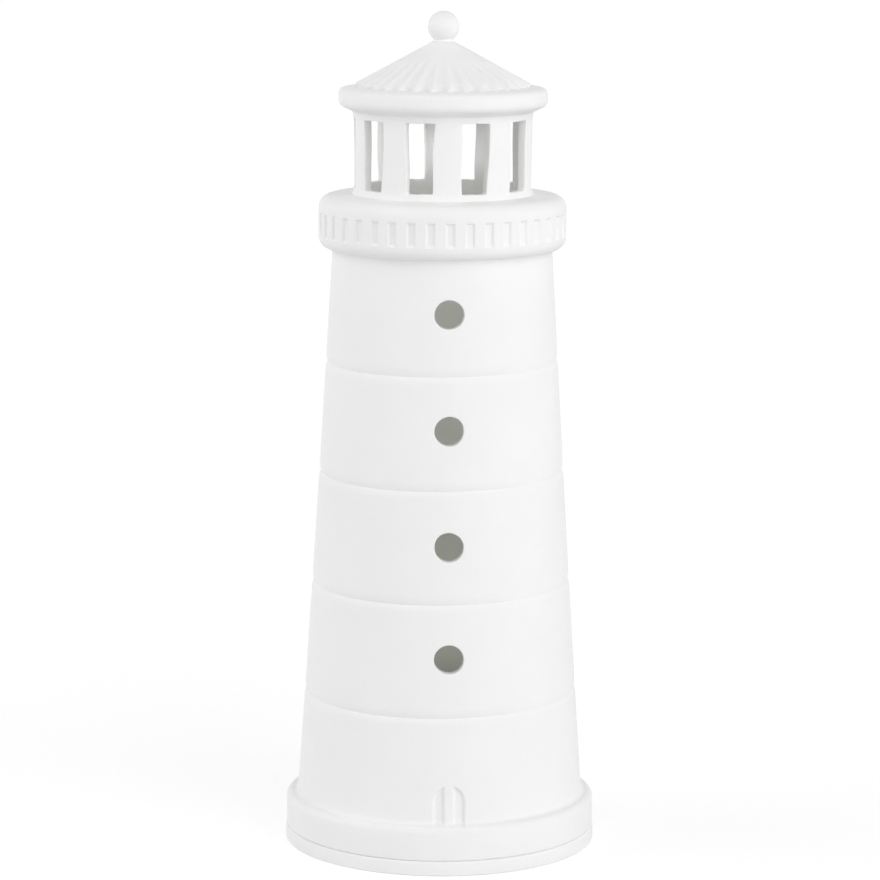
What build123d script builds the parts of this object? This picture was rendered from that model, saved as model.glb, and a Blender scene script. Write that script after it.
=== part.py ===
from build123d import *

import math
import os

# Lighthouse candle holder in white bisque porcelain, in millimetres.
# Z is the axis of the tower, the plate's foot ring stands on Z = 0, and the door faces -Y.

# Base plate that carries the tower and the tealight
plate_overhang = 0.3
plate_thickness = 5.0
plate_edge_round = 0.9
plate_foot_round = 0.4
foot_ring_width = 7.0
foot_recess_depth = 1.2
locating_step_height = 3.0
locating_clearance = 0.6
locating_step_round = 1.0
seat_depth = 1.5
seat_clearance = 0.8

# Tower shell with its plinth and tapered bands
shell_wall = 4.0
tower_height = 200.0
tower_foot_radius = 49.2
tower_top_radius = 37.3
tower_sag = 0.34
plinth_overhang = 3.8
plinth_height = 11.5
plinth_shoulder_round = 3.6
plinth_edge_round = 0.7
plinth_inside_height = 8.0
band_count = 5
band_base_height = 10.2
crease_depth = 0.5
crease_reach = 3.4

# Portholes, one on the front of each band above the door
porthole_diameter = 9.8
porthole_rise = 0.2

# Double door in relief at the foot of the tower
door_width = 11.2
door_spring_height = 7.8
door_depth = 0.7
mullion_width = 2.6

# Gallery ring with its row of recesses
gallery_overhang = 4.7
gallery_height = 18.6
gallery_foot_round = 4.3
gallery_shoulder_round = 4.2
deck_fall = 0.7
deck_thickness = 3.6
recess_count = 40
recess_width = 2.8
recess_height = 8.2
recess_depth = 0.7
recess_base_height = 4.4

# Lantern room with its open windows
lantern_height = 27.8
deck_width = 12.0
lantern_splay = 0.35
lantern_wall = 2.6
lantern_foot_flare = 1.0
lantern_head_flare = 0.3
flare_height = 1.9
flare_round = 2.4
window_count = 10
window_width = 10.0
window_height = 23.5
window_sill_height = 2.2
window_corner_round = 1.3

# Fluted conical roof with a rounded rim
roof_height = 23.2
roof_wall = 3.6
eaves_overhang = 4.95
rim_low_height = 2.25
rim_low_round = 2.7
rim_top_height = 7.7
rim_top_round = 2.1
ledge_width = 5.8
ledge_height = 8.8
roof_cap_radius = 3.9
rib_count = 32
rib_depth = 0.55
rib_start_radius = 13.5

# Ball finial
ball_radius = 5.3
neck_radius = 3.3
neck_height = 0.9

# Tealight of the common size
cup_radius = 19.2
cup_height = 15.0
cup_wall = 0.35
cup_lip = 0.5
wax_level_drop = 2.5
wax_clearance = 0.1
sustainer_radius = 6.25
sustainer_thickness = 0.4
sustainer_neck_radius = 1.5
sustainer_neck_height = 4.0
wick_radius = 0.7
wick_clearance = 0.05
wick_above_wax = 8.0

# Heights of the joints between the pieces, from the foot upwards
tower_base = plate_thickness
gallery_base = tower_base + tower_height
lantern_base = gallery_base + gallery_height
roof_base = lantern_base + lantern_height
finial_base = roof_base + roof_height
seat_floor = plate_thickness + locating_step_height - seat_depth
wax_base = seat_floor + cup_wall
wax_top = seat_floor + cup_height - wax_level_drop

# Radii that follow from the tower, from the foot upwards
plinth_radius = tower_foot_radius + plinth_overhang
plate_radius = plinth_radius + plate_overhang
gallery_radius = tower_top_radius + gallery_overhang
lantern_foot_radius = gallery_radius - deck_width
lantern_head_radius = lantern_foot_radius + lantern_splay
rim_radius = lantern_head_radius + eaves_overhang
ledge_radius = rim_radius - ledge_width

# Values that several pieces share
mouth_radius = plinth_radius - shell_wall
step_radius = mouth_radius - locating_clearance
tower_bore = tower_top_radius - shell_wall
lantern_bore = lantern_foot_radius - lantern_wall
lantern_foot_outer = lantern_foot_radius + lantern_foot_flare
lantern_head_outer = lantern_head_radius + lantern_head_flare
band_base = tower_base + band_base_height
band_height = (tower_height - band_base_height) / band_count
plinth_top = tower_base + plinth_height
front = -90.0


def at(radius, height):
    """Point of a turned outline."""
    return Vector(radius, 0, height)


def rounded(face, corners):
    """Round the corners of a flat outline; each corner is a radius, a height and its rounding."""
    for radius, height, rounding in corners:
        corner = face.vertices().sort_by_distance(at(radius, height))[0]
        face = face.fillet_2d(rounding, [corner])
    return face


def turned(corners):
    """Solid turned about Z from corners that are a radius, a height and a rounding, 0 where sharp."""
    points = [at(radius, height) for radius, height, _ in corners]
    face = Face(Wire.make_polygon(points, close=True))
    face = rounded(face, [corner for corner in corners if corner[2] > 0])
    return revolve(face, Axis.Z)


def band_line(height):
    """Outer radius of the tower at a height: a taper that is slightly hollow, straight along each band."""

    def taper(step):
        share = step / band_count
        straight = tower_foot_radius + (tower_top_radius - tower_foot_radius) * share
        return straight - 4 * tower_sag * share * (1 - share)

    place = (height - band_base) / band_height
    band = min(max(math.floor(place), 0), band_count - 1)
    return taper(band) + (taper(band + 1) - taper(band)) * (place - band)


def crease(height):
    """The two soft rolls that meet in the groove between two bands, from the lower band to the upper."""
    groove = at(band_line(height) - crease_depth, height)

    def roll(edge_height):
        middle = (height + edge_height) / 2
        edge = at(band_line(edge_height), edge_height)
        return edge, at(band_line(middle) - crease_depth / 4, middle)

    lower_edge, lower_middle = roll(height - crease_reach)
    upper_edge, upper_middle = roll(height + crease_reach)
    return [
        Edge.make_three_point_arc(lower_edge, lower_middle, groove),
        Edge.make_three_point_arc(groove, upper_middle, upper_edge),
    ]


def tower_outline():
    """Half section of the tower shell: plinth, bands and creases outside, an even wall inside."""
    below = at(band_line(plinth_top), plinth_top)
    plinth = [at(mouth_radius, tower_base), at(plinth_radius, tower_base), at(plinth_radius, plinth_top)]
    edges = list(Polyline(*plinth, below).edges())
    for band in range(1, band_count):
        rolls = crease(band_base + band * band_height)
        edges.append(Edge.make_line(below, rolls[0] @ 0))
        edges.extend(rolls)
        below = rolls[1] @ 1
    inside = [
        at(tower_top_radius, gallery_base),
        at(tower_bore, gallery_base),
        at(band_line(plinth_top) - shell_wall, plinth_top),
        at(mouth_radius, tower_base + plinth_inside_height),
        at(mouth_radius, tower_base),
    ]
    edges.extend(Polyline(below, *inside).edges())
    face = Face(Wire(edges))
    return rounded(
        face,
        [
            (plinth_radius, tower_base, plinth_edge_round),
            (plinth_radius, plinth_top, plinth_shoulder_round),
        ],
    )


def door_recess():
    """The two sunk leaves of the arched door, as deep as the relief all the way round the wall."""
    half_width = door_width / 2
    door_height = door_spring_height + half_width
    left, right = (-half_width, door_spring_height), (half_width, door_spring_height)
    jambs = Polyline(left, (-half_width, 0), (half_width, 0), right)
    arch = ThreePointArc(right, (0, door_height), left)
    leaves = make_face(jambs + arch) - Rectangle(mullion_width, 3 * door_height)
    block = extrude(Plane.XZ.offset(tower_bore) * Pos(0, plinth_top) * leaves, plinth_radius)
    door_top = plinth_top + door_height
    floor = turned(
        [
            (0, plinth_top - door_depth, 0),
            (band_line(plinth_top) - door_depth, plinth_top - door_depth, 0),
            (band_line(door_top) - door_depth, door_top, 0),
            (0, door_top, 0),
        ]
    )
    return block - floor


def base_plate():
    """Round plate with a foot ring, a step that centres the tower and a shallow seat for the tealight."""
    recess_radius = plate_radius - foot_ring_width
    step_top = plate_thickness + locating_step_height
    seat_radius = cup_radius + cup_lip + seat_clearance
    return turned(
        [
            (0, foot_recess_depth, 0),
            (recess_radius, foot_recess_depth, plate_foot_round),
            (recess_radius, 0, plate_foot_round),
            (plate_radius, 0, plate_foot_round),
            (plate_radius, plate_thickness, plate_edge_round),
            (step_radius, plate_thickness, 0),
            (step_radius, step_top, locating_step_round),
            (seat_radius, step_top, plate_foot_round),
            (seat_radius, seat_floor, plate_foot_round),
            (0, seat_floor, 0),
        ]
    )


def tower_shell():
    """Tapered shell, open at both ends, with portholes and the door on its front."""
    shell = revolve(tower_outline(), Axis.Z)
    for band in range(1, band_count):
        height = band_base + (band + 0.5) * band_height + porthole_rise
        hole = Cylinder(porthole_diameter / 2, plinth_radius, rotation=(90, 0, 0))
        shell -= Pos(0, -plinth_radius / 2, height) * hole
    return shell - door_recess()


def gallery_ring():
    """Hollow ring with a rounded foot and shoulder, a deck that sheds water and a row of recesses."""
    inner_wall = gallery_radius - shell_wall
    ceiling = lantern_base - deck_thickness
    ring = turned(
        [
            (tower_bore, gallery_base, 0),
            (gallery_radius, gallery_base, gallery_foot_round),
            (gallery_radius, lantern_base - deck_fall, gallery_shoulder_round),
            (lantern_foot_outer, lantern_base, 0),
            (lantern_bore, lantern_base, 0),
            (lantern_bore, ceiling, 0),
            (inner_wall, ceiling - deck_fall, shell_wall / 2),
            (inner_wall, gallery_base + shell_wall, shell_wall / 2),
            (tower_bore, gallery_base + shell_wall, 0),
        ]
    )
    middle = gallery_base + recess_base_height + recess_height / 2
    recess = Box(2 * recess_depth, recess_width, recess_height)
    for place in PolarLocations(gallery_radius, recess_count, start_angle=front):
        ring -= Pos(0, 0, middle) * place * recess
    return ring


def lantern_room():
    """Round wall cut into pillars by tall windows, flared where it meets the deck and the eaves."""
    wall = turned(
        [
            (lantern_bore, lantern_base, 0),
            (lantern_foot_outer, lantern_base, 0),
            (lantern_foot_radius, lantern_base + flare_height, flare_round),
            (lantern_head_radius, roof_base - flare_height, flare_round),
            (lantern_head_outer, roof_base, 0),
            (lantern_bore, roof_base, 0),
        ]
    )
    opening = Box(4 * lantern_wall, window_width, window_height)
    lower_edges = opening.edges().filter_by(Axis.X).group_by(Axis.Z)[0]
    opening = fillet(lower_edges, window_corner_round)
    middle = lantern_base + window_sill_height + window_height / 2
    half_pitch = 180 / window_count
    for place in PolarLocations(lantern_head_radius, window_count, start_angle=front + half_pitch):
        wall -= Pos(0, 0, middle) * place * opening
    return wall


def scalloped(radius, depth, height):
    """Flat outline of the ribbed roof at a height: one arc for each rib, between two valleys."""

    def point(distance, angle):
        turn = math.radians(angle)
        return Vector(distance * math.cos(turn), distance * math.sin(turn), height)

    pitch = 360 / rib_count
    ribs = []
    for rib in range(rib_count):
        start = front + rib * pitch
        left = point(radius - depth, start)
        crown = point(radius, start + pitch / 2)
        right = point(radius - depth, start + pitch)
        ribs.append(Edge.make_three_point_arc(left, crown, right))
    return Face(Wire(ribs))


def roof():
    """Hollow cone whose ribs grow from a smooth top towards the eaves, on a rounded rim."""
    ledge = roof_base + ledge_height
    slope = (finial_base - ledge) / (ledge_radius - roof_cap_radius)
    rib_start = finial_base - slope * (rib_start_radius - roof_cap_radius)
    rib_end = roof_base + rim_top_height
    rib_end_radius = ledge_radius + (ledge - rib_end) / slope
    rib_inset = rib_depth * math.hypot(1, slope) / slope
    eaves_outline = scalloped(rib_end_radius, rib_inset, rib_end)
    top_outline = scalloped(rib_start_radius, 0, rib_start)
    ribs = loft([eaves_outline, top_outline], ruled=True)
    body = turned(
        [
            (0, roof_base, 0),
            (lantern_head_outer, roof_base, 0),
            (rim_radius, roof_base + rim_low_height, rim_low_round),
            (rim_radius, roof_base + rim_top_height, rim_top_round),
            (ledge_radius - rib_inset, ledge, 0),
            (rib_start_radius, ledge, 0),
            (rib_start_radius, rib_start, 0),
            (roof_cap_radius, finial_base, 0),
            (0, finial_base, 0),
        ]
    )
    drop = roof_wall * math.hypot(1, slope)
    hollow_top = finial_base - drop
    hollow = turned(
        [
            (0, roof_base, 0),
            (lantern_bore, roof_base, 0),
            (lantern_bore, hollow_top - slope * (lantern_bore - roof_cap_radius), 0),
            (roof_cap_radius, hollow_top, 0),
            (0, hollow_top, 0),
        ]
    )
    return body + ribs - hollow


def finial():
    """Ball on a short neck."""
    rise = math.sqrt(ball_radius**2 - neck_radius**2)
    neck_top = finial_base + neck_height
    ball_middle = neck_top + rise
    top = at(0, ball_middle + ball_radius)
    neck_edge = at(neck_radius, neck_top)
    edges = list(Polyline(top, at(0, finial_base), at(neck_radius, finial_base), neck_edge).edges())
    edges.append(Edge.make_three_point_arc(neck_edge, at(ball_radius, ball_middle), top))
    return revolve(Face(Wire(edges)), Axis.Z)


def tealight_cup():
    """Thin pressed cup with a small lip turned outwards."""
    inner = cup_radius - cup_wall
    top = seat_floor + cup_height
    return turned(
        [
            (0, seat_floor, 0),
            (cup_radius, seat_floor, 2 * cup_wall),
            (cup_radius, top - cup_wall, 0),
            (cup_radius + cup_lip, top - cup_wall, 0),
            (cup_radius + cup_lip, top, 0),
            (inner, top, 0),
            (inner, wax_base, cup_wall),
            (0, wax_base, 0),
        ]
    )


def sustainer_profile(clearance):
    """Stepped outline of the wick's foot, larger by a clearance on its round sides and its top."""
    disc_top = wax_base + sustainer_thickness + clearance
    neck_top = wax_base + sustainer_neck_height + clearance
    disc = sustainer_radius + clearance
    neck = sustainer_neck_radius + clearance
    return disc, disc_top, neck, neck_top


def candle_wax():
    """Block of wax that fills the cup and is cast round the wick and its foot."""
    disc, disc_top, neck, neck_top = sustainer_profile(wax_clearance)
    outer = cup_radius - cup_wall - wax_clearance
    wick_hole = wick_radius + wick_clearance
    return turned(
        [
            (disc, wax_base, 0),
            (outer, wax_base, 2 * cup_wall),
            (outer, wax_top, 0),
            (wick_hole, wax_top, 0),
            (wick_hole, neck_top, 0),
            (neck, neck_top, 0),
            (neck, disc_top, 0),
            (disc, disc_top, 0),
        ]
    )


def wick_sustainer():
    """Pressed disc with a short neck that grips the wick."""
    disc, disc_top, neck, neck_top = sustainer_profile(0)
    wick_hole = wick_radius + wick_clearance
    return turned(
        [
            (0, wax_base, 0),
            (disc, wax_base, 0),
            (disc, disc_top, 0),
            (neck, disc_top, 0),
            (neck, neck_top, 0),
            (wick_hole, neck_top, 0),
            (wick_hole, disc_top, 0),
            (0, disc_top, 0),
        ]
    )


def wick():
    """Cotton wick that stands on the disc of its foot and rises out of the wax."""
    foot = wax_base + sustainer_thickness
    return turned(
        [
            (0, foot, 0),
            (wick_radius, foot, 0),
            (wick_radius, wax_top + wick_above_wax, wick_radius / 2),
            (0, wax_top + wick_above_wax, 0),
        ]
    )


pieces = {
    "base_plate": base_plate(),
    "tower_shell": tower_shell(),
    "gallery_ring": gallery_ring(),
    "lantern_room": lantern_room(),
    "roof": roof(),
    "finial": finial(),
    "tealight_cup": tealight_cup(),
    "candle_wax": candle_wax(),
    "wick_sustainer": wick_sustainer(),
    "wick": wick(),
}

os.makedirs("parts", exist_ok=True)
for name, piece in pieces.items():
    export_step(piece, f"parts/{name}.step")
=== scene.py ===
import math

import bmesh
import bpy
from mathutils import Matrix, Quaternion, Vector


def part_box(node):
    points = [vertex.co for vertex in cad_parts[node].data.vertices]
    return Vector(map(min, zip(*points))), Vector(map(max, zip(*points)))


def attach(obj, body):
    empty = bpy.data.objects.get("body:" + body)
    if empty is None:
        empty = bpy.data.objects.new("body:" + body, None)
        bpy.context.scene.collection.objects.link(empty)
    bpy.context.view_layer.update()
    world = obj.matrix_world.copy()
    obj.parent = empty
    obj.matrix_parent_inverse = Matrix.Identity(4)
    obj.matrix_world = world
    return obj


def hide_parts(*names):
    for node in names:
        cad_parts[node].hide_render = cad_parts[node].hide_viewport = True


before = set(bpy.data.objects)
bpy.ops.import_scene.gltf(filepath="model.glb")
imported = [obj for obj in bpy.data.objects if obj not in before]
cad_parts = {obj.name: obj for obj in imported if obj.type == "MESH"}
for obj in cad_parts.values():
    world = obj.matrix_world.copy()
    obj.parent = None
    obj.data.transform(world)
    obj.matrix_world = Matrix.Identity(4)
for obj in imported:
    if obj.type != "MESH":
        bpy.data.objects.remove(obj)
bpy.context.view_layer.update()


# Base plate
# A loose round plate of white porcelain that the tower stands on. It was cast in a mould, sponged
# soft along its edges and fired without glaze. It has a foot ring below, a step on top that centres
# the tower, and a shallow seat for the tealight.

mm = 0.001
plate_low, plate_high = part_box("base_plate")
tower_low, tower_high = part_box("tower_shell")
cup_low, cup_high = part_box("tealight_cup")
plate_radius = plate_high.x
plate_top = tower_low.z
step_top = plate_high.z
seat_floor = cup_low.z
foot_ring_width = 7.0 * mm
foot_recess_depth = 1.2 * mm
step_radius = plate_radius - 4.9 * mm
seat_radius = cup_high.x + 0.8 * mm
plate_edge_round = 0.9 * mm
plate_foot_round = 0.5 * mm
step_round = 1.0 * mm
round_columns = 160
arc_step = math.radians(11)


def rounded_outline(corners, run=None):
    """Points of an outline whose corners are a distance from the axis, a height and a rounding."""
    points = []
    for number, (radius, height, rounding) in enumerate(corners):
        corner = Vector((radius, height))
        back = Vector(corners[number - 1][:2]) - corner
        ahead = Vector(corners[(number + 1) % len(corners)][:2]) - corner
        arc = [corner]
        if rounding:
            half = back.angle(ahead) / 2
            towards_middle = back.normalized() + ahead.normalized()
            middle = corner + towards_middle.normalized() * rounding / math.sin(half)
            start = corner + back.normalized() * rounding / math.tan(half) - middle
            stop = corner + ahead.normalized() * rounding / math.tan(half) - middle
            steps = max(3, round((math.pi - 2 * half) / arc_step))
            swings = [start.slerp(stop, step / steps).normalized() for step in range(steps + 1)]
            arc = [middle + swing * rounding for swing in swings]
        points.extend(arc)
    if run is None:
        return points
    split = []
    for number, point in enumerate(points):
        following = points[(number + 1) % len(points)]
        pieces = max(1, round((following - point).length / run))
        split.extend(point.lerp(following, step / pieces) for step in range(pieces))
    return split


def draw_outline(name, points, bearing=0.0, closed=True):
    """Start a piece by drawing an outline in the upright plane at a bearing, vertex by vertex."""
    bpy.ops.object.select_all(action="DESELECT")
    bpy.ops.mesh.primitive_plane_add(size=mm)
    piece = bpy.context.active_object
    piece.name = name
    bpy.ops.object.mode_set(mode="EDIT")
    bpy.ops.mesh.select_mode(type="VERT")
    bpy.ops.mesh.merge(type="CENTER")
    outward = Vector((math.cos(bearing), math.sin(bearing), 0))
    upward = Vector((0, 0, 1))
    place = Vector()
    for number, point in enumerate([*points, points[0]] if closed else points):
        step = outward * point[0] + upward * point[1] - place
        if number == 0:
            bpy.ops.transform.translate(value=step)
        else:
            bpy.ops.mesh.extrude_vertices_move(TRANSFORM_OT_translate={"value": step})
        place += step
    merge_doubles()
    return piece


def merge_doubles():
    """Join the vertices that lie on each other, and leave the whole piece selected."""
    bpy.ops.mesh.select_all(action="SELECT")
    bpy.ops.mesh.remove_doubles(threshold=mm / 500)
    bpy.ops.mesh.select_all(action="SELECT")


def turn(steps, angle=2 * math.pi, copies=False):
    """Turn what is selected about the axis of the tower, as a wall or as copies."""
    bpy.ops.mesh.spin(steps=steps, angle=angle, center=(0, 0, 0), axis=(0, 0, -1), dupli=copies)


def smooth_piece(piece, material, sharp_angle):
    """Close the mesh, point its faces outwards, shade it and give it its material."""
    merge_doubles()
    bpy.ops.mesh.normals_make_consistent(inside=False)
    bpy.ops.object.mode_set(mode="OBJECT")
    bpy.ops.object.shade_smooth_by_angle(angle=math.radians(sharp_angle))
    piece.data.materials.append(material)


def hand_in(piece, node, body):
    """Let the piece stand for its CAD node and move with its body."""
    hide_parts(node)
    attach(piece, body)


def surface_group():
    """Fine grain and a slow drift of tone, for every material that was cast, pressed or spun."""
    group = bpy.data.node_groups.new("grain_and_drift", "ShaderNodeTree")
    for name, value in (("Grain Scale", 1500.0), ("Drift Scale", 40.0)):
        socket = group.interface.new_socket(name, in_out="INPUT", socket_type="NodeSocketFloat")
        socket.default_value = value
    for name in ("Grain", "Drift"):
        group.interface.new_socket(name, in_out="OUTPUT", socket_type="NodeSocketFloat")
    nodes, links = group.nodes, group.links
    entry = nodes.new("NodeGroupInput")
    leave = nodes.new("NodeGroupOutput")
    coordinates = nodes.new("ShaderNodeTexCoord")
    for name, detail in (("Grain", 3.0), ("Drift", 2.0)):
        noise = nodes.new("ShaderNodeTexNoise")
        noise.inputs["Detail"].default_value = detail
        noise.inputs["Roughness"].default_value = 0.6
        links.new(coordinates.outputs["Object"], noise.inputs["Vector"])
        links.new(entry.outputs[name + " Scale"], noise.inputs["Scale"])
        links.new(noise.outputs["Fac"], leave.inputs[name])
    return group


def new_material(name, grain_scale, drift_scale):
    """A material with a Principled shader and the shared grain group."""
    material = bpy.data.materials.new(name)
    material.use_nodes = True
    nodes = material.node_tree.nodes
    grain = nodes.new("ShaderNodeGroup")
    grain.node_tree = grain_and_drift
    grain.inputs["Grain Scale"].default_value = grain_scale
    grain.inputs["Drift Scale"].default_value = drift_scale
    return material, nodes, material.node_tree.links, nodes["Principled BSDF"], grain


def vary_colour(nodes, links, shader, mask, light, dark, low, high):
    """Base Color between two colours as a mask goes from low to high."""
    ramp = nodes.new("ShaderNodeValToRGB")
    ramp.color_ramp.elements[0].position = low
    ramp.color_ramp.elements[0].color = (*dark, 1)
    ramp.color_ramp.elements[1].position = high
    ramp.color_ramp.elements[1].color = (*light, 1)
    links.new(mask, ramp.inputs["Fac"])
    links.new(ramp.outputs["Color"], shader.inputs["Base Color"])


def between(nodes, links, value, span, limits):
    """A value that goes from one limit to the other as another value goes over its span."""
    spread = nodes.new("ShaderNodeMapRange")
    for name, number in zip(("From Min", "From Max", "To Min", "To Max"), (*span, *limits)):
        spread.inputs[name].default_value = number
    links.new(value, spread.inputs["Value"])
    return spread.outputs["Result"]


def vary_value(nodes, links, mask, socket, low, high):
    """A shader value between two limits as a mask goes over its usual range."""
    links.new(between(nodes, links, mask, (0.3, 0.7), (low, high)), socket)


def raise_grain(nodes, links, shader, height, strength, distance):
    """Bump that feeds the shader's normal."""
    bump = nodes.new("ShaderNodeBump")
    bump.inputs["Strength"].default_value = strength
    bump.inputs["Distance"].default_value = distance
    links.new(height, bump.inputs["Height"])
    links.new(bump.outputs["Normal"], shader.inputs["Normal"])


def bisque_porcelain():
    """Unglazed white porcelain: matt, with a fine tooth, faint wiping marks and a drift of tone."""
    material, nodes, links, shader, grain = new_material("bisque_porcelain", 2600.0, 38.0)
    light, dark = (0.87, 0.87, 0.868), (0.856, 0.856, 0.854)
    vary_colour(nodes, links, shader, grain.outputs["Drift"], light, dark, 0.35, 0.65)
    vary_value(nodes, links, grain.outputs["Drift"], shader.inputs["Roughness"], 0.6, 0.75)
    shader.inputs["IOR"].default_value = 1.5
    shader.inputs["Specular IOR Level"].default_value = 0.3
    coordinates = nodes.new("ShaderNodeTexCoord")
    stretch = nodes.new("ShaderNodeMapping")
    stretch.inputs["Scale"].default_value = (30, 30, 420)
    wiping = nodes.new("ShaderNodeTexNoise")
    wiping.inputs["Scale"].default_value = 1.0
    wiping.inputs["Detail"].default_value = 2.0
    links.new(coordinates.outputs["Object"], stretch.inputs["Vector"])
    links.new(stretch.outputs["Vector"], wiping.inputs["Vector"])
    heights = nodes.new("ShaderNodeMath")
    heights.operation = "MULTIPLY_ADD"
    heights.inputs[1].default_value = 0.35
    links.new(grain.outputs["Grain"], heights.inputs[0])
    links.new(wiping.outputs["Fac"], heights.inputs[2])
    raise_grain(nodes, links, shader, heights.outputs["Value"], 0.35, 0.06 * mm)
    return material


grain_and_drift = surface_group()
porcelain = bisque_porcelain()

plate = draw_outline(
    "porcelain_plate",
    rounded_outline(
        [
            (0, foot_recess_depth, 0),
            (plate_radius - foot_ring_width, foot_recess_depth, plate_foot_round),
            (plate_radius - foot_ring_width, 0, plate_foot_round),
            (plate_radius, 0, plate_foot_round),
            (plate_radius, plate_top, plate_edge_round),
            (step_radius, plate_top, plate_foot_round),
            (step_radius, step_top, step_round),
            (seat_radius, step_top, plate_foot_round),
            (seat_radius, seat_floor, plate_foot_round),
            (0, seat_floor, 0),
        ]
    ),
    closed=False,
)
turn(round_columns)
smooth_piece(plate, porcelain, sharp_angle=50)
hand_in(plate, "base_plate", "base")


# Tower shell
# The tapered porcelain tower, slip cast as one hollow shell. Five bands meet in soft creases above a
# stepped plinth. A round cutter went through the leather-hard wall for the four portholes, and the
# double door was pressed into the mould, so its edges are soft.

gallery_low, gallery_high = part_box("gallery_ring")
shell_wall = 4.0 * mm
plinth_radius = tower_high.x
plinth_top = tower_low.z + 11.5 * mm
plinth_edge_round = 0.7 * mm
plinth_shoulder_round = 2.3 * mm
plinth_cove_round = 1.55 * mm
plinth_inside_top = tower_low.z + 8.0 * mm
mouth_radius = plinth_radius - shell_wall
band_count = 5
band_base = tower_low.z + 10.2 * mm
band_height = (tower_high.z - band_base) / band_count
tower_foot_radius = plinth_radius - 3.8 * mm
tower_top_radius = gallery_high.x - 4.7 * mm
tower_sag = 0.34 * mm
crease_depth = 0.7 * mm
crease_reach = 3.4 * mm
lower_crease_reach = 2.5 * mm
row_height = 1.6 * mm
tower_columns = 192


def band_radius(height):
    """Outer radius of the bands at a height, without the creases."""
    place = (height - band_base) / band_height
    band = min(max(math.floor(place), 0), band_count - 1)
    ends = []
    for step in (band, band + 1):
        share = step / band_count
        straight = tower_foot_radius + (tower_top_radius - tower_foot_radius) * share
        ends.append(straight - 4 * tower_sag * share * (1 - share))
    return ends[0] + (ends[1] - ends[0]) * (place - band)


def crease_roll(height):
    """How far the bands roll in towards the nearest crease."""
    nearest = min(max(round((height - band_base) / band_height), 1), band_count - 1)
    above = height - band_base - nearest * band_height
    away = above / crease_reach if above > 0 else -above / lower_crease_reach
    return crease_depth * max(0.0, 1 - away) ** 2.3


def tower_radius(height):
    """Outer radius of the tower above the plinth, with the rolls that meet in each crease."""
    return band_radius(height) - crease_roll(height)


def tower_rows():
    """Heights of the rings of vertices up the tower, close together at the creases."""
    close = [share * crease_reach for share in (0, 0.06, 0.14, 0.25, 0.4, 0.6, 0.8, 1)]
    rows = []
    below = plinth_top
    for band in range(1, band_count + 1):
        crease = band_base + band * band_height
        above = crease - crease_reach if band < band_count else tower_high.z
        steps = round((above - below) / row_height)
        rows.extend(below + (above - below) * step / steps for step in range(steps))
        if band < band_count:
            rows.extend(crease - step for step in reversed(close))
            rows.extend(crease + step for step in close[1:-1])
            below = crease + crease_reach
    return [*rows, tower_high.z]


def inner_radius(height):
    """Inner radius of the tower's even wall."""
    low = band_radius(plinth_top) - shell_wall
    high = tower_top_radius - shell_wall
    return low + (high - low) * (height - plinth_top) / (tower_high.z - plinth_top)


rows = tower_rows()
plinth = rounded_outline(
    [
        (mouth_radius, tower_low.z, 0),
        (plinth_radius, tower_low.z, plinth_edge_round),
        (plinth_radius, plinth_top, plinth_shoulder_round),
        (tower_radius(plinth_top), plinth_top, plinth_cove_round),
        (tower_radius(rows[2]), rows[2], 0),
    ]
)
outside = [(tower_radius(height), height) for height in rows[3:]]
inside = [(inner_radius(height), height) for height in reversed(rows)]
tower = draw_outline(
    "porcelain_tower", [*plinth, *outside, *inside, (mouth_radius, plinth_inside_top)]
)
turn(tower_columns)
merge_doubles()


def pick(piece, kind, wanted):
    """Select the vertices, edges or faces of the piece in edit mode that pass a test."""
    bpy.ops.mesh.select_mode(type=kind)
    bpy.ops.mesh.select_all(action="DESELECT")
    mesh = bmesh.from_edit_mesh(piece.data)
    for part in {"VERT": mesh.verts, "EDGE": mesh.edges, "FACE": mesh.faces}[kind]:
        if wanted(part):
            part.select_set(True)
    mesh.select_flush_mode()
    bmesh.update_edit_mesh(piece.data)


def place_picked(piece, where):
    """Move each selected vertex to the place that a rule gives for it."""
    mesh = bmesh.from_edit_mesh(piece.data)
    for vertex in mesh.verts:
        if vertex.select:
            vertex.co = where(vertex.co)
    bmesh.update_edit_mesh(piece.data)


def middle_of(part):
    """Middle of an edge or a face."""
    return sum((vertex.co for vertex in part.verts), Vector()) / len(part.verts)


def soft_step(value):
    """Smooth rise from 0 to 1."""
    value = min(max(value, 0.0), 1.0)
    return value * value * (3 - 2 * value)


crease_tilt_across = 0.0105
crease_tilt_forward = 0.02
level_below = band_base + 0.6 * band_height
level_above = tower_high.z
tilt_run = 14.0 * mm


def settling(place):
    """The creases are not quite level: they sank a little to the front and to the left."""
    held = min(place.z - level_below, level_above - place.z) / tilt_run
    return (crease_tilt_across * place.x + crease_tilt_forward * place.y) * soft_step(held)


wiped_from = math.radians(20)
wiped_to = math.radians(86)
wiped_run = math.radians(24)
wiped_share = 0.6


def wipe(place):
    """The sponge went over the creases again at the front on the right, so they are shallower there."""
    radius = place.xy.length
    bearing = math.atan2(place.x, -place.y)
    outer = radius > band_radius(place.z) - shell_wall / 2
    share = wiped_share * soft_step(min(bearing - wiped_from, wiped_to - bearing) / wiped_run)
    filled = radius + crease_roll(place.z) * share if outer else radius
    return Vector((*(place.xy.normalized() * filled), place.z))


pick(tower, "VERT", lambda vertex: vertex.co.z > plinth_top + row_height)
place_picked(tower, wipe)
place_picked(tower, lambda place: place + Vector((0, 0, settling(place))))

porthole_radius = 4.9 * mm
porthole_rises = (0.0, -0.4 * mm, 0.3 * mm, 0.9 * mm)
porthole_round = 0.4 * mm
porthole_patch = 8.3 * mm
porthole_rings = (1.7 * mm, 0.9 * mm, 0.4 * mm)
porthole_oval = 0.012
porthole_lobes = 0.008
edge_steps = 4


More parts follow.
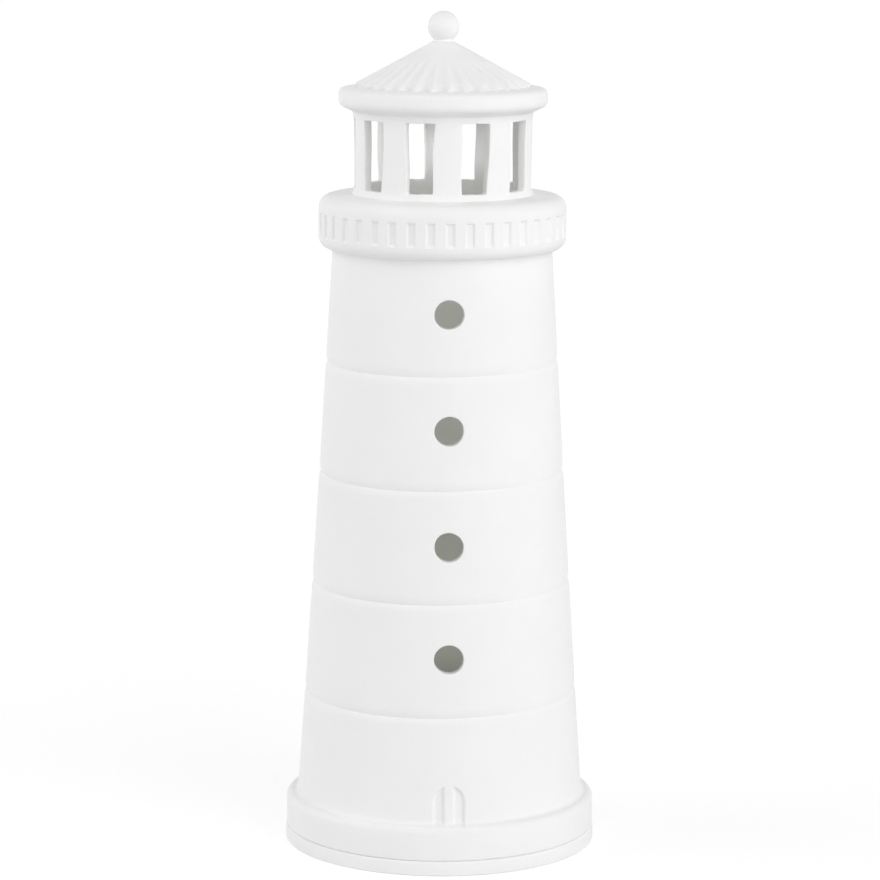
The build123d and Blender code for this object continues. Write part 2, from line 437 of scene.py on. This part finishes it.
def cut_porthole(piece, height, phase):
    """Open the wall at a height on the front and shape the round hole with its soft edge."""
    reach = porthole_patch / tower_radius(height)

    def in_patch(face):
        middle = middle_of(face)
        across = abs(math.atan2(middle.x, -middle.y))
        return across < reach and abs(middle.z - height) < porthole_patch

    def lay_ring(wall, outer, widening, sinking):
        def on_wall(place):
            angle = math.atan2(place.z - height, place.x)
            oval = porthole_oval * math.sin(2 * angle + phase)
            lobes = porthole_lobes * math.sin(3 * angle + 2 * phase)
            radius = porthole_radius * (1 + oval + lobes) + widening
            x, z = radius * math.cos(angle), height + radius * math.sin(angle)
            settled = wall(z - settling(Vector((x, -wall(z), z))))
            depth = settled + (-sinking if outer else sinking)
            return Vector((x, -math.sqrt(depth**2 - x**2), z))

        bpy.ops.mesh.extrude_edges_move()
        place_picked(piece, on_wall)

    pick(piece, "FACE", in_patch)
    bpy.ops.mesh.delete(type="FACE")
    middle_radius = tower_radius(height) - shell_wall / 2
    for wall, outer in ((tower_radius, True), (inner_radius, False)):

        def on_side(edge):
            distance = middle_of(edge).xy.length
            return edge.is_boundary and (distance > middle_radius) == outer

        pick(piece, "EDGE", on_side)
        for widening in porthole_rings:
            lay_ring(wall, outer, widening + porthole_round, 0)
        for step in range(edge_steps + 1):
            swing = math.radians(90 * step / edge_steps)
            widening = porthole_round * (1 - math.sin(swing))
            lay_ring(wall, outer, widening, porthole_round * (1 - math.cos(swing)))
    pick(piece, "EDGE", lambda edge: edge.is_boundary)
    bpy.ops.mesh.bridge_edge_loops()


for band, rise in enumerate(porthole_rises, start=1):
    cut_porthole(tower, band_base + (band + 0.5) * band_height + rise, 1.9 * band)

door_half_width = 5.6 * mm
door_spring = plinth_top + 7.8 * mm
door_depth = 1.05 * mm
door_edge = 1.05 * mm
door_foot_edge = 1.7 * mm
mullion_half_width = 1.25 * mm
door_patch = 8.5 * mm
door_cuts = 4


def press_door(place):
    """Where a vertex of the wall lies after the two leaves of the door were pressed in."""
    across = abs(place.x)
    above = max(place.z - door_spring, 0)
    from_jamb = door_half_width - math.hypot(across, above)
    from_mullion = across - mullion_half_width
    leaf = soft_step(min(from_jamb, from_mullion) / door_edge)
    foot = soft_step((place.z - plinth_top) / door_foot_edge + 0.8)
    radius = place.xy.length - door_depth * leaf * foot
    return Vector((place.x, -math.sqrt(radius**2 - place.x**2), place.z))


def in_door_patch(face):
    """Outer faces of the wall round the door."""
    middle = middle_of(face)
    outer = middle.xy.length > tower_radius(middle.z) - shell_wall / 2
    low = plinth_top - 1.5 * door_foot_edge < middle.z < door_spring + door_patch
    return outer and low and middle.y < 0 and abs(middle.x) < door_patch


pick(tower, "FACE", in_door_patch)
bpy.ops.mesh.subdivide(number_cuts=door_cuts)
place_picked(tower, press_door)
smooth_piece(tower, porcelain, sharp_angle=45)
hand_in(tower, "tower_shell", "tower")


# Gallery ring
# The hollow ring that carries the lantern, cast on its own and stuck to the tower with slip. A row of
# forty upright recesses runs round it, pressed with a tool that left crisp heads and soft feet.

lantern_low, lantern_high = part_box("lantern_room")
gallery_radius = gallery_high.x
gallery_foot_round = 4.3 * mm
gallery_shoulder_round = 4.2 * mm
deck_fall = 0.7 * mm
deck_thickness = 3.6 * mm
lantern_foot_radius = gallery_radius - 12.0 * mm
lantern_foot_flare = 0.6 * mm
lantern_wall = 2.6 * mm
lantern_bore = lantern_foot_radius - lantern_wall
recess_count = 40
recess_pitch = 2 * math.pi / recess_count
recess_width = 3.2 * mm
recess_depth = 0.75 * mm
recess_foot = gallery_low.z + 4.4 * mm
recess_head = gallery_low.z + 12.6 * mm
recess_foot_slope = 0.9 * mm
recess_head_slope = 0.5 * mm
recess_side_slope = 0.62
recess_edge_round = 0.16 * mm
recess_angle = recess_width / gallery_radius
gallery_bore = tower_top_radius - shell_wall
gallery_ceiling = gallery_high.z - deck_thickness

gallery = draw_outline(
    "porcelain_gallery",
    rounded_outline(
        [
            (gallery_bore, gallery_low.z, 0),
            (gallery_radius, gallery_low.z, gallery_foot_round),
            (gallery_radius, gallery_high.z - deck_fall, gallery_shoulder_round),
            (lantern_foot_radius + lantern_foot_flare, gallery_high.z, 0),
            (lantern_bore, gallery_high.z, 0),
            (lantern_bore, gallery_ceiling, 0),
            (gallery_radius - shell_wall, gallery_ceiling - deck_fall, shell_wall / 2),
            (gallery_radius - shell_wall, gallery_low.z + shell_wall, shell_wall / 2),
            (gallery_bore, gallery_low.z + shell_wall, 0),
        ]
    ),
    bearing=-recess_pitch / 2,
)
for height in (recess_foot, recess_head):
    bpy.ops.mesh.bisect(plane_co=(0, 0, height), plane_no=(0, 0, 1))
    bpy.ops.mesh.select_all(action="SELECT")
beside_recess = (recess_pitch - recess_angle) / 2
for steps, angle in ((2, beside_recess), (4, recess_angle), (2, beside_recess)):
    turn(steps, angle)
merge_doubles()


def on_recess(face):
    """Outer faces of the ring where the tool goes in."""
    middle = middle_of(face)
    across = abs(math.atan2(middle.y, middle.x)) < recess_angle / 2
    level = recess_foot < middle.z < recess_head
    outer = middle.xy.length > gallery_radius - shell_wall / 2
    return across and level and outer


pick(gallery, "FACE", on_recess)
bpy.ops.mesh.extrude_region_move(TRANSFORM_OT_translate={"value": (-recess_depth, 0, 0)})
bpy.ops.transform.resize(value=(1, recess_side_slope, 1))


def slope_ends(place):
    """Slope the foot and the head of the recess from its rim to its floor."""
    middle = (recess_foot + recess_head) / 2
    return place + Vector((0, 0, recess_foot_slope if place.z < middle else -recess_head_slope))


place_picked(gallery, slope_ends)


def on_recess_edge(edge):
    """Sharp edges of the recess, at its rim and round its floor."""
    middle = middle_of(edge)
    near = abs(math.atan2(middle.y, middle.x)) < recess_angle / 2 + 0.001
    level = recess_foot - mm / 10 < middle.z < recess_head + mm / 10
    outer = middle.xy.length > gallery_radius - shell_wall / 2
    return near and level and outer and edge.is_manifold and edge.calc_face_angle() > 0.4


pick(gallery, "EDGE", on_recess_edge)
bpy.ops.mesh.bevel(offset=recess_edge_round, segments=2, affect="EDGES")
bpy.ops.mesh.select_all(action="SELECT")
turn(recess_count - 1, 2 * math.pi - recess_pitch, copies=True)
smooth_piece(gallery, porcelain, sharp_angle=60)
hand_in(gallery, "gallery_ring", "tower")


# Lantern room
# A slab of porcelain with ten windows cut out of it by hand, bent round into a ring and stuck to the
# deck. The knife left the windows a little uneven, and a damp brush softened the edges and the foot.

roof_low, roof_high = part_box("roof")
window_count = 10
window_pitch = 2 * math.pi / window_count
window_half_width = 5.0 * mm
window_sill = lantern_low.z + 2.2 * mm
window_head = lantern_low.z + 25.7 * mm
window_middle = (window_sill + window_head) / 2
window_corner_round = 0.75 * mm
window_head_round = 0.4 * mm
window_edge_round = 0.28 * mm
window_wander = 0.2 * mm
window_lean = 0.9 * mm
short_wave = 4.2 * mm
long_wave = 11 * mm
sill_wave = 5 * mm
lantern_splay = 0.35 * mm
lantern_head_flare = 0.3 * mm
lantern_head_radius = lantern_foot_radius + lantern_splay + lantern_head_flare
flare_height = 2.4 * mm
bay_half_width = window_pitch / 2 * lantern_foot_radius

lantern = draw_outline(
    "porcelain_lantern",
    rounded_outline(
        [
            (-window_half_width, window_sill, window_corner_round),
            (window_half_width, window_sill, window_corner_round),
            (window_half_width, window_head, window_head_round),
            (-window_half_width, window_head, window_head_round),
        ],
        run=1.2 * mm,
    ),
)


def to_bay_border(place):
    """Point of the bay's border that a point of the window's outline belongs to."""
    across = place.x / window_half_width
    up = (place.z - window_middle) / (window_head - window_middle)
    reach = max(abs(across), abs(up))
    end = lantern_high.z if up > 0 else lantern_low.z
    along = abs(end - window_middle)
    return Vector((across / reach * bay_half_width, 0, window_middle + up / reach * along))


bpy.ops.mesh.select_mode(type="EDGE")
bpy.ops.mesh.select_all(action="SELECT")
bpy.ops.mesh.extrude_edges_move()
place_picked(lantern, to_bay_border)
for side in (-1, 1):
    for end in (lantern_low.z, lantern_high.z):
        corner = Vector((side * bay_half_width, 0, end))
        mesh = bmesh.from_edit_mesh(lantern.data)
        nearest = min(mesh.verts, key=lambda vertex: (vertex.co - corner).length)
        nearest.co = corner
bmesh.update_edit_mesh(lantern.data)


pick(lantern, "EDGE", lambda edge: not edge.is_boundary)
bpy.ops.mesh.subdivide_edgering(number_cuts=3, interpolation="LINEAR")
bpy.ops.mesh.select_all(action="SELECT")
for bay in range(1, window_count):
    bpy.ops.mesh.duplicate_move(TRANSFORM_OT_translate={"value": (2 * bay_half_width, 0, 0)})


def wander(place):
    """Hand-cut outline: every window strays a little in its own way, and the bay's border stays."""
    bay = round(place.x / (2 * bay_half_width))
    x = place.x - bay * 2 * bay_half_width
    across = abs(x) / bay_half_width
    up = abs(place.z - window_middle) / (lantern_high.z - window_middle)
    hold = soft_step((1 - max(across, up)) * 8)
    turn_of_bay = 2.4 * bay + (1.3 if x > 0 else 0)
    quick = math.sin(place.z / short_wave + turn_of_bay)
    slow = math.sin(place.z / long_wave + 2 * turn_of_bay)
    upwards = math.sin(place.x / sill_wave + 3 * turn_of_bay)
    stray = Vector((quick + 0.8 * slow, 0, 0.7 * upwards)) * window_wander
    if x > 0:
        stray.x -= window_lean * (window_head - place.z) / (window_head - window_sill)
    return place + stray * hold


def lantern_radius(height):
    """Outer radius of the lantern at a height, with the cove at its foot and its head."""
    share = (height - lantern_low.z) / (lantern_high.z - lantern_low.z)
    foot = max(0.0, 1 - (height - lantern_low.z) / flare_height) ** 2
    head = max(0.0, 1 - (lantern_high.z - height) / (flare_height / 2)) ** 2
    cove = lantern_foot_flare * foot + lantern_head_flare * head
    return lantern_foot_radius + lantern_splay * share + cove


def bend_round(place):
    """The slab's point after it was bent round the axis."""
    bearing = math.radians(-90) + window_pitch / 2 + place.x / lantern_foot_radius
    radius = lantern_radius(place.z)
    return Vector((radius * math.cos(bearing), radius * math.sin(bearing), place.z))


def to_inside(place):
    """The same point on the inner face of the wall."""
    outward = Vector((place.x, place.y)).normalized()
    return Vector((*(outward * lantern_bore), place.z))


bpy.ops.mesh.select_all(action="SELECT")
place_picked(lantern, wander)
place_picked(lantern, bend_round)
merge_doubles()
bpy.ops.mesh.select_mode(type="FACE")
bpy.ops.mesh.select_all(action="SELECT")
bpy.ops.mesh.extrude_region_move()
place_picked(lantern, to_inside)
bpy.ops.mesh.select_all(action="SELECT")
bpy.ops.mesh.normals_make_consistent(inside=False)


def on_window_edge(edge):
    """Sharp edges round the windows, on both faces of the wall."""
    inside_wall = lantern_low.z + mm < middle_of(edge).z < lantern_high.z - mm
    return inside_wall and edge.is_manifold and edge.calc_face_angle() > 0.9


pick(lantern, "EDGE", on_window_edge)
bpy.ops.mesh.bevel(offset=window_edge_round, segments=3, affect="EDGES")
smooth_piece(lantern, porcelain, sharp_angle=50)
hand_in(lantern, "lantern_room", "tower")


# Roof
# A hollow cone cast in one piece on a thick rounded rim. Thirty-two ribs rise out of the smooth top
# and end in rounded noses on the narrow ledge behind the rim.

finial_low, finial_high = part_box("finial")
rim_radius = roof_high.x
rim_low_height = roof_low.z + 2.25 * mm
rim_low_round = 2.7 * mm
rim_top_height = roof_low.z + 7.7 * mm
rim_top_round = 2.1 * mm
ledge_radius = rim_radius - 5.7 * mm
ledge_height = roof_low.z + 8.35 * mm
nose_height = roof_low.z + 9.2 * mm
nose_round = 0.25 * mm
nose_undercut = 0.5 * mm
ledge_cove_round = 0.2 * mm
roof_cap_radius = 3.9 * mm
roof_wall = 3.6 * mm
rib_count = 32
rib_pitch = 2 * math.pi / rib_count
rib_columns = 12
rib_depth = 0.85 * mm
rib_start_radius = 10.5 * mm
rib_growth_run = 9.0 * mm
rib_lobe = 1.8 * mm
lobe_reach = 2.4 * mm
slope_end_radius = ledge_radius - 1.2 * mm
slope_points = 14

eaves_radius = lantern_head_radius
cone_run = ledge_radius - roof_cap_radius
cone_rise = roof_high.z - nose_height
cone_angle = math.atan2(cone_rise, cone_run)
hollow_drop = roof_wall / math.cos(cone_angle)
hollow_top = roof_high.z - hollow_drop
hollow_foot = hollow_top - (lantern_bore - roof_cap_radius) * cone_rise / cone_run

roof_corners = [
    (0, roof_high.z, 0),
    (roof_cap_radius, roof_high.z, 0),
    (ledge_radius, nose_height, nose_round),
    (ledge_radius - nose_undercut, ledge_height, ledge_cove_round),
    (rim_radius, rim_top_height, rim_top_round),
    (rim_radius, rim_low_height, rim_low_round),
    (eaves_radius, roof_low.z, 0),
    (lantern_bore, roof_low.z, 0),
    (lantern_bore, hollow_foot, 0),
    (roof_cap_radius, hollow_top, 0),
    (0, hollow_top, 0),
]
roof = draw_outline("porcelain_roof", rounded_outline(roof_corners), bearing=-rib_pitch / 2, closed=False)
outward = Vector((math.cos(rib_pitch / 2), -math.sin(rib_pitch / 2), 0))
for step in range(1, slope_points):
    radius = roof_cap_radius + (slope_end_radius - roof_cap_radius) * step / slope_points
    bpy.ops.mesh.select_all(action="SELECT")
    bpy.ops.mesh.bisect(plane_co=outward * radius, plane_no=outward)
bpy.ops.mesh.select_all(action="SELECT")
turn(rib_columns, rib_pitch)
merge_doubles()


def cone_height(radius):
    """Height of the smooth cone at a distance from the axis."""
    return roof_high.z - (radius - roof_cap_radius) * cone_rise / cone_run


def press_rib(place):
    """Sink the cone towards the valleys on both sides of a rib, and round the rib's end."""
    radius = place.xy.length
    bearing = math.atan2(place.y, place.x)
    on_top = place.z > ledge_height - mm / 100 and place.z > cone_height(radius) - roof_wall / 2
    if not on_top or radius < rib_start_radius or radius > ledge_radius + mm / 100:
        return place
    valley = 1 - (0.5 + 0.5 * math.cos(2 * math.pi * bearing / rib_pitch)) ** 2
    grown = soft_step((radius - rib_start_radius) / rib_growth_run) * radius / ledge_radius
    above_ledge = min(1.0, (place.z - ledge_height) / (nose_height - ledge_height))
    sink = rib_depth * grown * valley * above_ledge
    lobe = rib_lobe * valley * soft_step(1 - (ledge_radius - radius) / lobe_reach)
    sunk_radius = radius - sink * math.sin(cone_angle) - lobe
    sunk_height = place.z - sink * math.cos(cone_angle)
    return Vector((sunk_radius * math.cos(bearing), sunk_radius * math.sin(bearing), sunk_height))


place_picked(roof, press_rib)
bpy.ops.mesh.select_all(action="SELECT")
turn(rib_count - 1, 2 * math.pi - rib_pitch, copies=True)
smooth_piece(roof, porcelain, sharp_angle=60)
hand_in(roof, "roof", "tower")


# Finial
# The porcelain ball on top of the roof, rolled by hand and stuck on with slip while both were soft, so
# that a small collar runs from it into the roof.

ball_radius = finial_high.x
ball_middle = finial_high.z - ball_radius
neck_radius = 3.3 * mm
collar_radius = 4.0 * mm
ball_columns = 64
ball_rings = 32
collar_shares = (0.3, 0.55, 0.75, 0.9, 1.0)

bpy.ops.object.select_all(action="DESELECT")
bpy.ops.mesh.primitive_uv_sphere_add(segments=ball_columns, ring_count=ball_rings, radius=ball_radius)
finial = bpy.context.active_object
finial.name = "porcelain_finial"
bpy.ops.object.mode_set(mode="EDIT")
bpy.ops.mesh.select_all(action="SELECT")
bpy.ops.transform.translate(value=(0, 0, ball_middle))
neck_top = ball_middle - math.sqrt(ball_radius**2 - neck_radius**2)
pick(finial, "FACE", lambda face: middle_of(face).z < neck_top)
bpy.ops.mesh.delete(type="FACE")
pick(finial, "EDGE", lambda edge: edge.is_boundary)
for share in collar_shares:
    ring_radius = neck_radius + (collar_radius - neck_radius) * share**2
    ring_height = neck_top + (finial_low.z - neck_top) * share

    def on_collar(place, ring_radius=ring_radius, ring_height=ring_height):
        outward = place.xy.normalized() * ring_radius
        return Vector((*outward, ring_height))

    bpy.ops.mesh.extrude_edges_move()
    place_picked(finial, on_collar)
bpy.ops.mesh.edge_face_add()
smooth_piece(finial, porcelain, sharp_angle=70)
hand_in(finial, "finial", "tower")


# Tealight cup
# The cup of a common tealight: thin aluminium sheet, deep drawn in one stroke, with its lip turned
# outwards and a ring pressed into its bottom.

cup_radius = cup_high.x - 0.5 * mm
cup_wall = 0.35 * mm
cup_lip_round = 0.17 * mm
cup_ring_radius = 13.0 * mm
cup_ring_step = 0.3 * mm

cup = draw_outline(
    "aluminium_cup",
    rounded_outline(
        [
            (0, cup_low.z + cup_ring_step, 0),
            (cup_ring_radius, cup_low.z + cup_ring_step, cup_ring_step / 2),
            (cup_ring_radius + cup_ring_step, cup_low.z, cup_ring_step / 2),
            (cup_radius, cup_low.z, 2 * cup_wall),
            (cup_radius, cup_high.z - cup_wall, cup_lip_round),
            (cup_high.x, cup_high.z - cup_wall, cup_lip_round),
            (cup_high.x, cup_high.z, cup_lip_round),
            (cup_radius - cup_wall, cup_high.z, cup_wall),
            (cup_radius - cup_wall, cup_low.z + cup_wall, cup_wall),
            (0, cup_low.z + cup_wall, 0),
        ]
    ),
    closed=False,
)
turn(round_columns)


def drawn_aluminium():
    """Bright drawn sheet with a fine grain and a dull drift."""
    material, nodes, links, shader, grain = new_material("drawn_aluminium", 900.0, 120.0)
    light, dark = (0.80, 0.80, 0.81), (0.70, 0.70, 0.71)
    vary_colour(nodes, links, shader, grain.outputs["Drift"], light, dark, 0.35, 0.65)
    vary_value(nodes, links, grain.outputs["Grain"], shader.inputs["Roughness"], 0.26, 0.42)
    shader.inputs["Metallic"].default_value = 1.0
    raise_grain(nodes, links, shader, grain.outputs["Grain"], 0.2, 0.03 * mm)
    return material


smooth_piece(cup, drawn_aluminium(), sharp_angle=50)
hand_in(cup, "tealight_cup", "tealight")


# Candle wax
# White paraffin poured into the cup round the wick. It shrank as it set, so its top dips towards the
# wick and climbs a little at the wall.

wax_low, wax_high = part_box("candle_wax")
wax_radius = wax_high.x
wax_dip = 0.6 * mm
wax_foot_round = 0.7 * mm
wick_hole_radius = 0.75 * mm
wax_climb_start = 0.88
wax_rings = 18


def wax_level(share):
    """Height of the wax from the wick, share 0, to the cup's wall, share 1."""
    climb = soft_step((share - wax_climb_start) / (1 - wax_climb_start)) * 0.5 * wax_dip
    bowl = wax_dip * (0.5 + 0.5 * math.cos(math.pi * min(1.0, share / wax_climb_start)))
    return wax_high.z - 0.5 * wax_dip - 0.5 * bowl + climb


top_shares = [step / wax_rings for step in range(wax_rings + 1)]
wax_top = [
    (wick_hole_radius + (wax_radius - wick_hole_radius) * share, wax_level(share))
    for share in top_shares
]
wax_side = rounded_outline(
    [
        (wax_radius, wax_level(1), 0),
        (wax_radius, wax_low.z, wax_foot_round),
        (wick_hole_radius, wax_low.z, 0),
    ]
)
wax = draw_outline("wax_block", [*wax_top, *wax_side])
turn(round_columns)


def paraffin():
    """White wax that lets a little light in, with faint frosting."""
    material, nodes, links, shader, grain = new_material("paraffin", 700.0, 160.0)
    light, dark = (0.88, 0.87, 0.83), (0.83, 0.815, 0.765)
    vary_colour(nodes, links, shader, grain.outputs["Drift"], light, dark, 0.35, 0.65)
    vary_value(nodes, links, grain.outputs["Grain"], shader.inputs["Roughness"], 0.38, 0.55)
    shader.inputs["Subsurface Weight"].default_value = 0.3
    shader.inputs["Subsurface Radius"].default_value = (2.0 * mm, 1.6 * mm, 1.2 * mm)
    shader.inputs["Subsurface Scale"].default_value = 1.0
    raise_grain(nodes, links, shader, grain.outputs["Grain"], 0.2, 0.05 * mm)
    return material


smooth_piece(wax, paraffin(), sharp_angle=50)
hand_in(wax, "candle_wax", "tealight")


# Wick sustainer
# The small tinned steel foot that holds the wick upright, pressed from sheet. The wax covers it, so
# its CAD solid stays and only takes its finish here.


def tinned_steel():
    """Grey tin coat with a soft bloom."""
    material, nodes, links, shader, grain = new_material("tinned_steel", 1200.0, 260.0)
    light, dark = (0.64, 0.64, 0.65), (0.5, 0.5, 0.51)
    vary_colour(nodes, links, shader, grain.outputs["Drift"], light, dark, 0.35, 0.65)
    vary_value(nodes, links, grain.outputs["Grain"], shader.inputs["Roughness"], 0.3, 0.5)
    shader.inputs["Metallic"].default_value = 1.0
    raise_grain(nodes, links, shader, grain.outputs["Grain"], 0.2, 0.02 * mm)
    return material


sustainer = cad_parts["wick_sustainer"]
sustainer.data.materials.clear()
sustainer.data.materials.append(tinned_steel())


# Wick
# Three cotton strands laid together into a thin cord, stiffened with wax and cut off square. Its lower
# end stands in the steel foot, and the wax round it holds it upright.

wick_low, wick_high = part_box("wick")
wick_radius = wick_high.x
strand_radius = 0.46 * wick_radius
strand_count = 3
strand_sides = 8
strand_steps = 66
strand_twist = math.radians(24)

bpy.ops.object.select_all(action="DESELECT")
bpy.ops.mesh.primitive_circle_add(vertices=strand_sides, radius=strand_radius, fill_type="NGON")
wick = bpy.context.active_object
wick.name = "cotton_wick"
bpy.ops.object.mode_set(mode="EDIT")
bpy.ops.mesh.select_mode(type="FACE")
bpy.ops.mesh.select_all(action="SELECT")
bpy.ops.transform.translate(value=(wick_radius - strand_radius, 0, wick_low.z))
rise = (wick_high.z - wick_low.z) / strand_steps
for step in range(strand_steps):
    bpy.ops.mesh.extrude_region_move(TRANSFORM_OT_translate={"value": (0, 0, rise)})
    bpy.ops.transform.rotate(value=strand_twist, orient_axis="Z", center_override=(0, 0, 0))
bpy.ops.mesh.select_all(action="SELECT")
turn(strand_count - 1, 2 * math.pi * (strand_count - 1) / strand_count, copies=True)


def waxed_cotton():
    """Off-white waxed cotton with a fine fibrous grain."""
    material, nodes, links, shader, grain = new_material("waxed_cotton", 5200.0, 700.0)
    light, dark = (0.84, 0.81, 0.73), (0.7, 0.66, 0.57)
    vary_colour(nodes, links, shader, grain.outputs["Grain"], light, dark, 0.35, 0.65)
    vary_value(nodes, links, grain.outputs["Drift"], shader.inputs["Roughness"], 0.6, 0.8)
    raise_grain(nodes, links, shader, grain.outputs["Grain"], 0.5, 0.05 * mm)
    return material


smooth_piece(wick, waxed_cotton(), sharp_angle=60)
hand_in(wick, "wick", "tealight")


# Floor
# A wide sheet of white paper under the piece. The camera sees it as white, with the shadow that the
# piece leaves on it.

floor_width = 60.0
paper_colour = (0.82, 0.82, 0.82, 1)
shade_colour = (0.4, 0.4, 0.4, 1)
white_colour = (1, 1, 1, 1)
glow_span = (0.1, 2.0)
glow_limits = (0.665, 0.78)


def background_rays(nodes, links):
    """Mask of the rays that show the background: straight, mirrored or through glass."""
    rays = nodes.new("ShaderNodeLightPath")
    mask = rays.outputs["Is Camera Ray"]
    for kind in ("Is Glossy Ray", "Is Transmission Ray"):
        either = nodes.new("ShaderNodeMath")
        either.operation = "MAXIMUM"
        links.new(mask, either.inputs[0])
        links.new(rays.outputs[kind], either.inputs[1])
        mask = either.outputs["Value"]
    return mask


bpy.ops.object.select_all(action="DESELECT")
bpy.ops.mesh.primitive_plane_add(size=floor_width)
floor = bpy.context.active_object
floor.name = "paper_floor"
paper = bpy.data.materials.new("white_paper")
paper.use_nodes = True
nodes, links = paper.node_tree.nodes, paper.node_tree.links
nodes.clear()
sheet = nodes.new("ShaderNodeBsdfDiffuse")
sheet.inputs["Color"].default_value = paper_colour
shade = nodes.new("ShaderNodeBsdfDiffuse")
shade.inputs["Color"].default_value = shade_colour
paper_place = nodes.new("ShaderNodeTexCoord")
distance = nodes.new("ShaderNodeVectorMath")
distance.operation = "LENGTH"
links.new(paper_place.outputs["Object"], distance.inputs[0])
evened = between(nodes, links, distance.outputs["Value"], glow_span, glow_limits)
glow = nodes.new("ShaderNodeEmission")
glow.inputs["Color"].default_value = white_colour
links.new(evened, glow.inputs["Strength"])
white = nodes.new("ShaderNodeAddShader")
links.new(shade.outputs["BSDF"], white.inputs[0])
links.new(glow.outputs["Emission"], white.inputs[1])
choose = nodes.new("ShaderNodeMixShader")
links.new(background_rays(nodes, links), choose.inputs["Fac"])
links.new(sheet.outputs["BSDF"], choose.inputs[1])
links.new(white.outputs["Shader"], choose.inputs[2])
surface = nodes.new("ShaderNodeOutputMaterial")
links.new(choose.outputs["Shader"], surface.inputs["Surface"])
floor.data.materials.append(paper)


# Light
# A pale room that is darker overhead and towards a doorway at the front on the left. A large soft box
# stands at the front on the right and a weaker one on the left. Weak lamps inside the piece stand for
# the daylight that thin porcelain lets through.

overhead_span = (0.6, 1.0)
overhead_limits = (0.87, 0.05)
doorway_direction = (-0.69, -0.72, -0.05)
doorway_span = (0.65, 0.98)
doorway_limits = (1.0, 0.6)

world = bpy.data.worlds.new("pale_room")
bpy.context.scene.world = world
world.use_nodes = True
nodes, links = world.node_tree.nodes, world.node_tree.links
nodes.clear()
direction = nodes.new("ShaderNodeTexCoord")
axes = nodes.new("ShaderNodeSeparateXYZ")
links.new(direction.outputs["Generated"], axes.inputs["Vector"])
overhead = between(nodes, links, axes.outputs["Z"], overhead_span, overhead_limits)
towards = nodes.new("ShaderNodeVectorMath")
towards.operation = "DOT_PRODUCT"
towards.inputs[1].default_value = doorway_direction
links.new(direction.outputs["Generated"], towards.inputs[0])
doorway = between(nodes, links, towards.outputs["Value"], doorway_span, doorway_limits)
dimmed = nodes.new("ShaderNodeMath")
dimmed.operation = "MULTIPLY"
links.new(overhead, dimmed.inputs[0])
links.new(doorway, dimmed.inputs[1])
room = nodes.new("ShaderNodeBackground")
room.inputs["Color"].default_value = white_colour
links.new(dimmed.outputs["Value"], room.inputs["Strength"])
backdrop = nodes.new("ShaderNodeBackground")
backdrop.inputs["Color"].default_value = white_colour
choose = nodes.new("ShaderNodeMixShader")
links.new(background_rays(nodes, links), choose.inputs["Fac"])
links.new(room.outputs["Background"], choose.inputs[1])
links.new(backdrop.outputs["Background"], choose.inputs[2])
sky = nodes.new("ShaderNodeOutputWorld")
links.new(choose.outputs["Shader"], sky.inputs["Surface"])


def hang_lamp(name, kind, place, power, colour=(1, 1, 1)):
    """A lamp that the camera does not see."""
    lamp = bpy.data.lights.new(name, kind)
    lamp.energy = power
    lamp.color = colour
    stand = bpy.data.objects.new(name, lamp)
    bpy.context.scene.collection.objects.link(stand)
    stand.location = place
    stand.visible_camera = False
    return lamp, stand


def hang_panel(name, place, target, size, power, colour=(1, 1, 1), spread=180):
    """A rectangle of light that faces a target."""
    lamp, stand = hang_lamp(name, "AREA", place, power, colour)
    lamp.shape = "RECTANGLE"
    lamp.size, lamp.size_y = size
    lamp.spread = math.radians(spread)
    stand.rotation_euler = (Vector(target) - Vector(place)).to_track_quat("-Z", "Y").to_euler()


piece_middle = (0, 0, 0.14)
soft_box = (1.66, 2.2)
hang_panel("right_soft_box", (1.1, -1.4, 1.05), piece_middle, soft_box, 18.5)
hang_panel("left_soft_box", (-1.78, 0, 1.05), piece_middle, soft_box, 14.5)

inside_colour = (0.98, 1.0, 0.86)
tower_strip = (0.016, 0.144)
tower_strip_height = 0.132
low_strip = (0.026, 0.022)
low_strip_height = 0.065
low_strip_aside = 0.004
lantern_strip = (0.036, 0.004)
lantern_strip_height = window_sill + 10 * mm
lantern_strip_spread = 38
lantern_lamp_radius = 8 * mm
hang_panel(
    "tower_strip",
    (0, -0.018, tower_strip_height),
    (0, 0, tower_strip_height),
    tower_strip,
    0.0085,
    inside_colour,
)
hang_panel(
    "low_strip",
    (low_strip_aside, 0.021, low_strip_height),
    (low_strip_aside, 0.04, low_strip_height),
    low_strip,
    0.0009,
    inside_colour,
)
hang_panel(
    "lantern_strip",
    (0, -0.012, lantern_strip_height),
    (0, 0, lantern_strip_height),
    lantern_strip,
    0.00046,
    spread=lantern_strip_spread,
)
lantern_lamp, _ = hang_lamp("lantern_lamp", "POINT", (0, 0, window_middle), 0.0014)
lantern_lamp.shadow_soft_size = lantern_lamp_radius


# Camera
# A long lens in front of the piece, a little to its left and above it, as in the photograph. It is
# turned by a fraction of a degree, as the photograph is.

photo_width = 880
focal_pixels = 3600
photo_shift = 1.3
camera_bearing = math.radians(-3.7)
camera_distance = 1.215
camera_height = 0.3422
aim_height = 0.1389
camera_roll = math.radians(0.3)

lens = bpy.data.cameras.new("studio_camera")
lens.sensor_width = 36.0
lens.lens = lens.sensor_width * focal_pixels / photo_width
lens.shift_x = -photo_shift / photo_width
camera = bpy.data.objects.new("studio_camera", lens)
bpy.context.scene.collection.objects.link(camera)
camera.location = (
    camera_distance * math.sin(camera_bearing),
    -camera_distance * math.cos(camera_bearing),
    camera_height,
)
look = Vector((0, 0, aim_height)) - camera.location
camera.rotation_euler = (look.to_track_quat("-Z", "Y") @ Quaternion((0, 0, 1), camera_roll)).to_euler()
bpy.context.scene.camera = camera
bpy.context.scene.view_settings.view_transform = "Standard"
